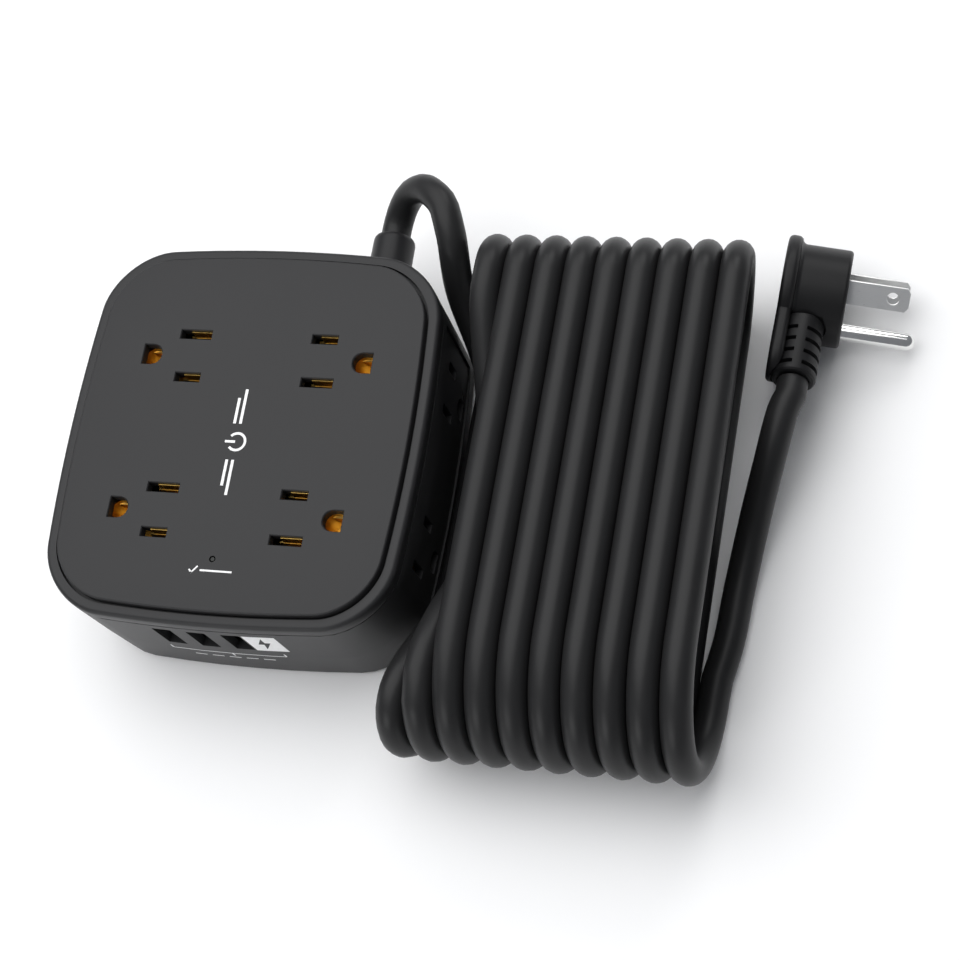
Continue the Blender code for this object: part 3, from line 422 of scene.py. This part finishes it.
plug_vinyl = vinyl("plug_vinyl", (0.009, 0.009, 0.0095), 0.42, 0.35)
depth, flange, body_radius, body_shift = 17.6, 3.8, 13.2, 3.2
flange_radius, tail_reach, tail_half = 15.2, 32.4, 6.9
rim_round, fillet_radius, front_round = 1.3, 1.4, 1.0
blade_shift, pin_shift = 6.35, 11.9
blade_seat_size = (12.0, 6.94, 2.1)
seat_middle, pin_seat_radius = -3.3, 2.68
side = math.sqrt(0.5) * body_shift
upper = math.asin((tail_half - side) / flange_radius)
lower = math.asin((-tail_half - side) / flange_radius)
outline = corner((side, side), flange_radius, upper, math.tau + lower, 72)
outline += corner((tail_reach - tail_half, 0), tail_half, -math.pi / 2, math.pi / 2, 24)
plate = slab(outline, 0.0, flange)
rounded(plate, rim_edges(plate, 0.0) + rim_edges(plate, flange), rim_round, 5)
stand = Matrix.Translation((-depth, 0, 0)) @ Matrix(
    ((0, 0, 1, 0), (1, 0, 0, 0), (0, 1, 0, 0), (0, 0, 0, 1))
)
plug = piece_from("plug_moulding", plate, plug_vinyl, tail_frame @ stand)
foot = flange - depth
fillet = [
    (foot - 0.05 + fillet_radius * (1 - math.sin(a)), body_radius + fillet_radius * (1 - math.cos(a)))
    for a in [math.pi / 2 * step / 6 for step in range(6, -1, -1)]
]
buried = foot - 1.2
profile = [(buried, 0.0), (buried, fillet[0][1]), *fillet]
profile += [
    (y - front_round, body_radius - front_round + x)
    for x, y in corner((0, 0), front_round, 0, math.pi / 2, 5)
]
profile += [(0.0, 0.0)]
body_place = plug_frame @ Matrix.Translation((0, body_shift, 0))
combine(plug, piece_from("plug_round", turned(profile, 96), None, body_place), "UNION")
bore = turned([(0, 0), (0, 6.2), (40, 6.2), (40, 0)], 48)
bore_start = Matrix.Translation((relief_x, relief_ends[0] - 0.3, 0))
bore_place = tail_frame @ bore_start @ Matrix.Rotation(math.pi / 2, 4, "Z")
combine(plug, piece_from("relief_bore", bore, None, bore_place), "DIFFERENCE")
for blade_z in (-blade_shift, blade_shift):
    seat = bmesh.new()
    seat_place = Matrix.Translation((seat_middle, 0, blade_z)) @ Matrix.Diagonal((*blade_seat_size, 1.0))
    bmesh.ops.create_cube(seat, size=1.0, matrix=seat_place)
    combine(plug, piece_from("blade_seat", seat, None, plug_frame), "DIFFERENCE")
pin_outline = [(seat_middle, 0), (seat_middle, pin_seat_radius), (6, pin_seat_radius), (6, 0)]
pin_seat = turned(pin_outline, 32)
pin_place = plug_frame @ Matrix.Translation((0, pin_shift, 0))
combine(plug, piece_from("pin_seat", pin_seat, None, pin_place), "DIFFERENCE")
shade(plug)
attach(plug, "root")
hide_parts("plug_body")

# The sleeve on the cord is moulded with four rings of short slots, so that it bends with
# the cord. Two narrow spines run along it between the slots, and its end is a flat ring.
sleeve_profile = [(0.0, 0.0), (0.0, 5.3), (0.4, 5.7), (17.3, 5.9), (17.9, 5.75), (18.3, 5.3)]
sleeve_profile += [(18.4, 4.35), (17.2, 4.3), (17.2, 0.0)]
start = Matrix.Translation((relief_x, relief_ends[0], 0)) @ Matrix.Rotation(math.pi / 2, 4, "Z")
sleeve = piece_from("plug_sleeve", turned(sleeve_profile), plug_vinyl, tail_frame @ start)
first_ring, ring_pitch, slot_width, slot_floor = 4.1, 3.7, 1.3, 4.45
for ring in range(4):
    for spine in (0.2, math.pi + 0.2):
        low_x = first_ring + ring_pitch * ring
        high_x = low_x + slot_width
        groove = bmesh.new()
        section = [(low_x, slot_floor), (high_x, slot_floor), (high_x, 8.0), (low_x, 8.0)]
        face = groove.faces.new([groove.verts.new((x, y, 0)) for x, y in section])
        bmesh.ops.rotate(
            groove, verts=groove.verts, cent=(0, 0, 0), matrix=Matrix.Rotation(spine - 0.02, 3, "X")
        )
        bmesh.ops.spin(
            groove,
            geom=[face, *face.edges, *face.verts],
            cent=(0, 0, 0),
            axis=(1, 0, 0),
            angle=math.pi - 0.42,
            steps=20,
            use_merge=False,
        )
        bmesh.ops.remove_doubles(groove, verts=groove.verts, dist=0.0005)
        turn_seat = tail_frame @ start @ Matrix.Rotation(math.pi / 2, 4, "X")
        combine(sleeve, piece_from("sleeve_slot", groove, None, turn_seat), "DIFFERENCE")
shade(sleeve)
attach(sleeve, "root")
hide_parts("plug_strain_relief")

# Two blades and a round ground pin, nickel plated. The blades are cut from strip, so their
# faces carry fine drawn lines, and the turned pin is polished brighter.


def plated(name, colour, rough, lines, strength):
    """Nickel plate with fine lines along the plug's axis and a slight change of polish."""
    made = bpy.data.materials.new(name)
    made.use_nodes = True
    tree = made.node_tree
    skin = tree.nodes["Principled BSDF"]
    skin.inputs["Metallic"].default_value = 1.0
    place = tree.nodes.new("ShaderNodeTexCoord")
    stretch = tree.nodes.new("ShaderNodeMapping")
    stretch.inputs["Scale"].default_value = (120.0, lines, lines)
    grain = tree.nodes.new("ShaderNodeTexNoise")
    grain.inputs["Scale"].default_value = 1.0
    grain.inputs["Detail"].default_value = 2.0
    shade_range = tree.nodes.new("ShaderNodeMapRange")
    shade_range.inputs["To Min"].default_value = rough - 0.06
    shade_range.inputs["To Max"].default_value = rough + 0.08
    tone = tree.nodes.new("ShaderNodeMix")
    tone.data_type = "RGBA"
    tone.inputs["A"].default_value = (*[channel * 0.9 for channel in colour], 1)
    tone.inputs["B"].default_value = (*colour, 1)
    bump = tree.nodes.new("ShaderNodeBump")
    bump.inputs["Strength"].default_value = strength
    bump.inputs["Distance"].default_value = 0.00003
    tree.links.new(place.outputs["Object"], stretch.inputs["Vector"])
    tree.links.new(stretch.outputs["Vector"], grain.inputs["Vector"])
    tree.links.new(grain.outputs["Fac"], shade_range.inputs["Value"])
    tree.links.new(grain.outputs["Fac"], tone.inputs["Factor"])
    tree.links.new(grain.outputs["Fac"], bump.inputs["Height"])
    tree.links.new(shade_range.outputs["Result"], skin.inputs["Roughness"])
    tree.links.new(tone.outputs["Result"], skin.inputs["Base Color"])
    tree.links.new(bump.outputs["Normal"], skin.inputs["Normal"])
    return made


def finish(material, *names):
    """Gives parts that are left as they are their material."""
    for name in names:
        for material_slot in nodes[name].material_slots:
            material_slot.material = material


def softened(name, width, material):
    """A merged copy of a part whose edges are softened, in place of the plain one."""
    shape = bmesh.new()
    shape.from_mesh(nodes[name].data)
    bmesh.ops.remove_doubles(shape, verts=shape.verts, dist=0.000004)
    bmesh.ops.dissolve_limit(
        shape, angle_limit=math.radians(0.6), verts=shape.verts, edges=shape.edges
    )
    mesh = bpy.data.meshes.new(name + "_moulded")
    shape.to_mesh(mesh)
    shape.free()
    made = bpy.data.objects.new(name + "_moulded", mesh)
    bpy.context.scene.collection.objects.link(made)
    mesh.materials.append(material)
    edge = made.modifiers.new("edge", "BEVEL")
    edge.width = width
    edge.segments = 2
    edge.limit_method = "ANGLE"
    edge.angle_limit = math.radians(35)
    edge.harden_normals = False
    shade(made, 38)
    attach(made, "reset_button" if name == "reset_button" else "root")
    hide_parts(name)
    return made


blade_metal = plated("blade_nickel", (0.86, 0.86, 0.85), 0.3, 9000.0, 0.35)
pin_metal = plated("pin_nickel", (0.86, 0.86, 0.85), 0.14, 6000.0, 0.15)
blades = [
    softened(f"plug_blade_{number}", 0.15 * MM, blade_metal) for number in (1, 2)
]
pin = softened("plug_ground_pin", 0.05 * MM, pin_metal)

# ---------------------------------------------------------------- cord bushing
# A smooth rubbery bushing is gripped by the back wall, and the cord comes out of its collar.
# It is turned about Y, with its grooved neck inside the wall.

neck = [(44.9, 0), (44.9, 6.2), (47.2, 6.2), (47.2, 8.4), (49.4, 8.4), (49.9, 6.5)]
neck += [(54.6, 6.5), (54.9, 6.9), (56.2, 7.0), (56.5, 6.7), (57.0, 6.1), (57.6, 5.98)]
neck += [(66.2, 5.9), (67.0, 5.75), (67.55, 5.4), (67.8, 4.9), (67.8, 4.3), (66.4, 4.25)]
neck += [(66.4, 0)]
bushing_place = Matrix.Translation((25.8, 0, 24.2)) @ Matrix.Rotation(math.pi / 2, 4, "Z")
bushing_vinyl = vinyl("bushing_vinyl", (0.016, 0.016, 0.017), 0.4)
bushing = shade(piece_from("cord_bushing", turned(neck), bushing_vinyl, bushing_place), 28)
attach(bushing, "root")
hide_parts("cord_strain_relief")

# ---------------------------------------------------------------- housing shells
# Flame-retardant plastic, moulded black with a fine spark-eroded texture. The drafted wall
# carries a separate top frame, and the face plate sits in that frame behind a narrow groove.


def moulded(name, colour, rough, grain=0.3, size=3200.0):
    """Moulded plastic: a fine even texture, slightly duller and brighter patches."""
    made = vinyl(name, colour, rough, grain)
    tree = made.node_tree
    pits = [node for node in tree.nodes if node.type == "TEX_NOISE"]
    pits[0].inputs["Scale"].default_value = size
    pits[1].inputs["Scale"].default_value = 28.0
    tree.nodes["Principled BSDF"].inputs["Specular IOR Level"].default_value = 0.28
    return made


wall_plastic = moulded("wall_plastic", (0.026, 0.026, 0.027), 0.42)
rim_plastic = moulded("rim_plastic", (0.02, 0.02, 0.021), 0.42)
plate_plastic = moulded("plate_plastic", (0.024, 0.024, 0.025), 0.5, 0.22)
housing = softened("main_housing", 0.25 * MM, wall_plastic)
softened("side_outlet_plate_left", 0.18 * MM, wall_plastic)
softened("side_outlet_plate_right", 0.18 * MM, wall_plastic)
softened("base_cover", 0.2 * MM, wall_plastic)

# The frame is a rounded rectangle whose sides bulge, with a rolled top edge and a sunk seat.
# The plate drops into the seat, and its slots and ground holes have small lead-in chamfers.


def crowned(half_x, half_y, radius, crown=3.3, corner_steps=20, side_steps=16):
    """A rounded rectangle whose four sides bulge out by crown."""
    straight_x, straight_y = half_x - crown - radius, half_y - crown - radius
    points = []
    for turn in range(4):
        centre = Vector(((1, -1, -1, 1)[turn] * straight_x, (1, 1, -1, -1)[turn] * straight_y))
        first = math.pi / 2 * turn
        points += corner(centre, radius, first, first + math.pi / 2, corner_steps)
        along = Vector((-math.cos(first), -math.sin(first)))
        reach = 2 * (straight_y if turn % 2 else straight_x)
        start = Vector(points[-1])
        points += [tuple(start + along * reach * n / side_steps) for n in range(1, side_steps)]
    return [
        (
            x * (1 + crown / half_x * (1 - (y / half_y) ** 2)),
            y * (1 + crown / half_y * (1 - (x / half_x) ** 2)),
        )
        for x, y in points
    ]


def body_outline(inset):
    """The outline of the body, seen from above, drawn in by inset."""
    return crowned(51.0 - inset, 54.7 - inset, 17.0 - inset * 0.7)


def carried(made, node):
    """A finished piece that rides on the housing in place of a plain one."""
    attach(shade(made, 30), "root")
    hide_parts(node)
    return made


rim = slab(body_outline(0.0), 38.2, 42.6)
rounded(rim, rim_edges(rim, 42.6), 1.3, 6)
rounded(rim, rim_edges(rim, 38.2), 0.2, 2)
rim = piece_from("rim", rim, rim_plastic)
combine(rim, piece_from("seat", slab(body_outline(2.8), 40.9, 50.0), None), "DIFFERENCE")
combine(rim, piece_from("hole", slab(body_outline(7.0), 30.0, 50.0), None), "DIFFERENCE")
carried(rim, "top_frame")

plate_top = 44.2
cover = slab(body_outline(3.5), 41.2, plate_top)
rounded(cover, rim_edges(cover, plate_top), 0.55, 4)
cover = piece_from("cover_plate", cover, plate_plastic)


def bar(x, y, width, height):
    """The outline of a bar round its middle."""
    x0, x1, y0, y1 = x - width / 2, x + width / 2, y - height / 2, y + height / 2
    return [(x0, y0), (x1, y0), (x1, y1), (x0, y1)]


def opening(outline, middle, turned_by):
    """A cutter through the plate that widens a little at the surface."""
    shape = slab(outline, 38.0, plate_top - 0.28)
    top_face = max(shape.faces, key=lambda face: face.calc_center_median().z)
    moved = bmesh.ops.extrude_face_region(shape, geom=[top_face])["geom"]
    verts = [item for item in moved if isinstance(item, bmesh.types.BMVert)]
    bmesh.ops.delete(shape, geom=[top_face], context="FACES_ONLY")
    centre = sum((vert.co for vert in verts), Vector()) / len(verts)
    for vert in verts:
        away = (vert.co - centre).xy
        vert.co.x += math.copysign(0.3, away.x) if abs(away.x) > 0.3 else 0.0
        vert.co.y += math.copysign(0.3, away.y) if abs(away.y) > 0.3 else 0.0
        vert.co.z += 0.38
    place = Matrix.Translation((*middle, 0)) @ Matrix.Rotation(turned_by, 4, "Z")
    return piece_from("opening", shape, None, place)


outlets = [(sign, row) for sign in (-1, 1) for row in (-1, 1)]
outlet_x, outlet_y, shift_x, shift_y = 18.75, 22.4, 0.25, -1.5
slots = ((9.0, -blade_shift), (7.3, blade_shift))
slot_opening, ground_radius = 2.6, 2.9
ground_outline = [(2.5, -ground_radius), (2.5, ground_radius)]
ground_outline += corner((0, 0), ground_radius, math.pi / 2, 1.5 * math.pi, 20)
for sign, row in outlets:
    at = Vector((sign * outlet_x + shift_x, row * outlet_y + shift_y))
    turn_by = 0.0 if sign > 0 else math.pi
    for length, offset in slots:
        middle = at + Vector((0, offset * sign))
        combine(cover, opening(bar(0, 0, length, slot_opening), middle, turn_by), "DIFFERENCE")
    middle = at + Vector((sign * pin_shift, 0))
    combine(cover, opening(ground_outline, middle, turn_by), "DIFFERENCE")
light_outline = corner((-0.25, -36.6), 0.9, 0, math.tau, 24)[:-1]
combine(cover, piece_from("light_hole", slab(light_outline, 38, 48), None), "DIFFERENCE")
carried(cover, "face_plate")

# ---------------------------------------------------------------- printed marks
# White marks are pad printed on the plate and on the front wall: a plain sign with two long
# strokes, a small tick by the status light, a charging block and a bracket under the ports.

ink = bpy.data.materials.new("white_print")
ink.use_nodes = True
ink_tree = ink.node_tree
ink_skin = ink_tree.nodes["Principled BSDF"]
ink_skin.inputs["Roughness"].default_value = 0.55
ink_place = ink_tree.nodes.new("ShaderNodeTexCoord")
ink_wear = ink_tree.nodes.new("ShaderNodeTexNoise")
ink_wear.inputs["Scale"].default_value = 900.0
ink_ramp = ink_tree.nodes.new("ShaderNodeMix")
ink_ramp.data_type = "RGBA"
ink_ramp.inputs["A"].default_value = (0.78, 0.78, 0.78, 1)
ink_ramp.inputs["B"].default_value = (0.95, 0.95, 0.95, 1)
ink_tree.links.new(ink_place.outputs["Object"], ink_wear.inputs["Vector"])
ink_tree.links.new(ink_wear.outputs["Fac"], ink_ramp.inputs["Factor"])
ink_tree.links.new(ink_ramp.outputs["Result"], ink_skin.inputs["Base Color"])
print_depth = 0.05


def print_slab(shape, outline):
    """Adds one flat printed mark, from its outline in millimetres."""
    face = shape.faces.new([shape.verts.new((x, y, 0)) for x, y in outline])
    moved = bmesh.ops.extrude_face_region(shape, geom=[face])["geom"]
    verts = [item for item in moved if isinstance(item, bmesh.types.BMVert)]
    bmesh.ops.translate(shape, vec=(0, 0, print_depth), verts=verts)


def stroke(start, end, width):
    """The outline of a straight stroke between two points."""
    across = Vector((start[1] - end[1], end[0] - start[0])).normalized() * width / 2
    a, b = Vector(start), Vector(end)
    return [tuple(point) for point in (a - across, b - across, b + across, a + across)]


def ring_part(centre, radius, width, first, last, steps):
    """The outline of a part of a ring."""
    outer = corner(centre, radius + width / 2, first, last, steps)
    inner = corner(centre, radius - width / 2, last, first, steps)
    return outer + inner


marks = bmesh.new()
sign_at = (-0.25, -3.5)
gap_angle = math.radians(40)
up = math.pi
print_slab(marks, ring_part(sign_at, 2.4, 0.7, up + gap_angle, up + math.tau - gap_angle, 36))
print_slab(marks, bar(sign_at[0] - 1.9, sign_at[1], 2.9, 0.7))
for reach in (-1, 1):
    print_slab(marks, bar(sign_at[0], sign_at[1] + reach * 10.2, 0.8, 10.0))
    print_slab(marks, bar(sign_at[0] - 1.7, sign_at[1] + reach * 8.9, 0.8, 7.4))
tick_at = (-5.2, -39.9)
for path in (((-1.0, 0.1), (-0.1, -0.9)), ((-0.35, -0.9), (1.3, 1.1))):
    start, end = [(x + tick_at[0], y + tick_at[1]) for x, y in path]
    print_slab(marks, stroke(start, end, 0.42))
print_slab(marks, bar(1.4, -39.9, 9.0, 0.5))
plate_marks = piece_from("plate_print", marks, ink, Matrix.Translation((0, 0, 44.19)))
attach(plate_marks, "root")

# The marks on the front wall follow its crown: each is cut into short lengths and laid on
# the wall. The block beside the ports has a spark sign left open in it.
wall_finder = BVHTree.FromObject(housing, bpy.context.evaluated_depsgraph_get())


def lay_on_wall(shape):
    """Lays marks drawn in X and Z, in millimetres, on the front wall, just proud of it."""
    for vert in shape.verts:
        start = Vector((vert.co.x, -80.0, vert.co.y)) * MM
        hit = wall_finder.ray_cast(start, Vector((0, 1, 0)))[0]
        vert.co = Vector((vert.co.x, hit.y / MM - vert.co.z + 0.02, vert.co.y))


wall_marks = bmesh.new()
line_z, line_left, line_right = 16.8, -18.6, 14.4
stub_z, middle_stub_x, middle_stub_z = 17.9, -1.3, 15.6
dash_x, dash_pitch, dash_z = -12.0, 5.0, 12.6
lengths = 12
step_x = (line_right - line_left) / lengths
for part in range(lengths):
    print_slab(wall_marks, bar(line_left + (part + 0.5) * step_x, line_z, step_x, 0.4))
for x, z in ((line_left, stub_z), (line_right, stub_z), (middle_stub_x, middle_stub_z)):
    print_slab(wall_marks, bar(x, z, 0.4, 2.2))
block = (8.0, 17.2, 22.2, 35.2)
columns = 6
step_x = (block[1] - block[0]) / columns
for part in range(columns):
    x = block[0] + (part + 0.5) * step_x
    print_slab(wall_marks, bar(x, (block[2] + block[3]) / 2, step_x, block[3] - block[2]))
for part in range(5):
    print_slab(wall_marks, bar(dash_x + dash_pitch * part, dash_z, 3.4, 0.5))
bmesh.ops.remove_doubles(wall_marks, verts=wall_marks.verts, dist=0.001)
inner = [
    face
    for face in wall_marks.faces
    if abs(face.normal.x) > 0.9 and any(len(edge.link_faces) > 2 for edge in face.edges)
]
bmesh.ops.delete(wall_marks, geom=inner, context="FACES")
lay_on_wall(wall_marks)
front_marks = piece_from("wall_print", wall_marks, ink)
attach(front_marks, "root")

spark = bmesh.new()
spark_outline = [(12.9, 33.6), (10.6, 28.4), (12.2, 28.4), (11.6, 24.0), (14.4, 29.8), (12.8, 29.8)]
print_slab(spark, spark_outline)
for vert in spark.verts:
    vert.co.z += 0.04
lay_on_wall(spark)
dark_ink = moulded("dark_print", (0.02, 0.02, 0.02), 0.5)
spark_sign = piece_from("spark_print", spark, dark_ink)
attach(spark_sign, "root")

# ---------------------------------------------------------------- contacts
# The contacts are stamped from brass strip. Their leaves show through the slots, worn a
# little brighter where blades have slid.


def metal(name, colour, rough, scale=500.0):
    """Bare metal strip with a clouded polish."""
    made = plated(name, colour, rough, scale, 0.2)
    stretch = made.node_tree.nodes["Mapping"]
    stretch.inputs["Scale"].default_value = (scale, scale, scale)
    return made


brass = metal("brass_strip", (0.72, 0.47, 0.13), 0.3)
contact_names = [
    f"{group}_{kind}_contacts"
    for group in ("top", "left", "right")
    for kind in ("neutral", "line", "ground")
]
finish(brass, *contact_names)

# Above each pair of leaves the strip runs up into the slot, so that a blade finds its way
# in, and under each ground hole sprung brass is rolled into a funnel that takes the pin.
leaf_section = [(1.0, 43.0), (1.2, 43.0), (0.9, 36.6), (0.7, 36.6)]
leaf_left, leaf_right = 0.22, 0.46
funnel_inside = [(0.6, 34.6), (1.6, 35.3), (2.5, 37.4), (3.1, 40.9)]
funnel_outside = [(radius + 0.2, z - 0.1) for radius, z in reversed(funnel_inside)]
lips = bmesh.new()
for sign, row in outlets:
    at = Vector((sign * outlet_x + shift_x, row * outlet_y + shift_y))
    for length, offset in slots:
        start = at + Vector((-leaf_left * length, offset * sign))
        verts = [lips.verts.new((start.x, start.y + y, z)) for y, z in leaf_section]
        moved = bmesh.ops.extrude_face_region(lips, geom=[lips.faces.new(verts)])["geom"]
        verts = [item for item in moved if isinstance(item, bmesh.types.BMVert)]
        reach = (leaf_left + leaf_right) * length
        bmesh.ops.translate(lips, vec=(reach, 0, 0), verts=verts)
    centre = at + Vector((sign * pin_shift, 0))
    wall = [
        lips.verts.new((centre.x + radius, centre.y, z))
        for radius, z in funnel_inside + funnel_outside
    ]
    edges = [lips.edges.new(pair) for pair in zip(wall, wall[1:] + wall[:1])]
    bmesh.ops.spin(
        lips,
        geom=wall + edges,
        cent=(*centre, 0),
        axis=(0, 0, 1),
        angle=math.tau,
        steps=32,
        use_merge=True,
    )
contact_lips = shade(piece_from("contact_lips", lips, brass), 30)
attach(contact_lips, "root")

# ---------------------------------------------------------------- charging ports
# Each port is a folded steel shell, open at the front, round a dark moulded tongue.

port_steel = metal("port_steel", (0.3, 0.3, 0.31), 0.4, 900.0)
tongue_plastic = moulded("tongue_plastic", (0.012, 0.012, 0.013), 0.45)
for port in (1, 2, 3):
    finish(port_steel, f"usb_shell_{port}")
    finish(tongue_plastic, f"usb_tongue_{port}")

# ---------------------------------------------------------------- breaker and reset button
# The breaker is snapped inside the back wall. Its round button stands in a ring and pops
# out when the breaker trips.

finish(moulded("breaker_plastic", (0.02, 0.02, 0.021), 0.5), "breaker_case")
button_plastic = moulded("button_plastic", (0.014, 0.014, 0.015), 0.3, 0.1)
softened("reset_button", 0.1 * MM, button_plastic)

# ---------------------------------------------------------------- boards and what they carry
# Two laminate boards with green mask carry the surge parts and the charger. Each part keeps
# the colour of its own coat, sleeve, tape or case.

board_mask = moulded("board_mask", (0.02, 0.16, 0.07), 0.35, 0.2, 1400.0)
finish(board_mask, "power_board", "usb_board")
coats = {
    "varistor_coat": ((0.03, 0.1, 0.38), 0.28, ("varistor_1", "varistor_2", "varistor_3")),
    "fuse_body": ((0.5, 0.48, 0.44), 0.5, ("thermal_fuse",)),
    "film_case": ((0.62, 0.42, 0.08), 0.3, ("filter_capacitor",)),
    "winding_tape": ((0.62, 0.5, 0.1), 0.42, ("usb_transformer",)),
    "can_sleeve": ((0.02, 0.02, 0.05), 0.25, ("bulk_capacitor",)),
    "led_epoxy": ((0.15, 0.7, 0.25), 0.15, ("status_led",)),
    "clear_pipe": ((0.012, 0.014, 0.012), 0.12, ("light_pipe",)),
    "line_insulation": ((0.014, 0.014, 0.014), 0.4, ("line_wire",)),
    "neutral_insulation": ((0.75, 0.75, 0.72), 0.4, ("neutral_wire",)),
    "ground_insulation": ((0.02, 0.28, 0.07), 0.4, ("ground_wire",)),
}
for coat, (colour, rough, names) in coats.items():
    finish(moulded(coat, colour, rough, 0.15), *names)

# ---------------------------------------------------------------- feet and screws
# Four rubber feet are glued into round seats, and four zinc-plated screws close the base.

corners = (1, 2, 3, 4)
foot_rubber = vinyl("foot_rubber", (0.016, 0.016, 0.016), 0.7, 0.5)
finish(foot_rubber, *[f"rubber_foot_{number}" for number in corners])
screw_names = [f"base_screw_{number}" for number in corners] + ["board_screw_1", "board_screw_2"]
finish(metal("zinc_plate", (0.5, 0.5, 0.5), 0.35), *screw_names)
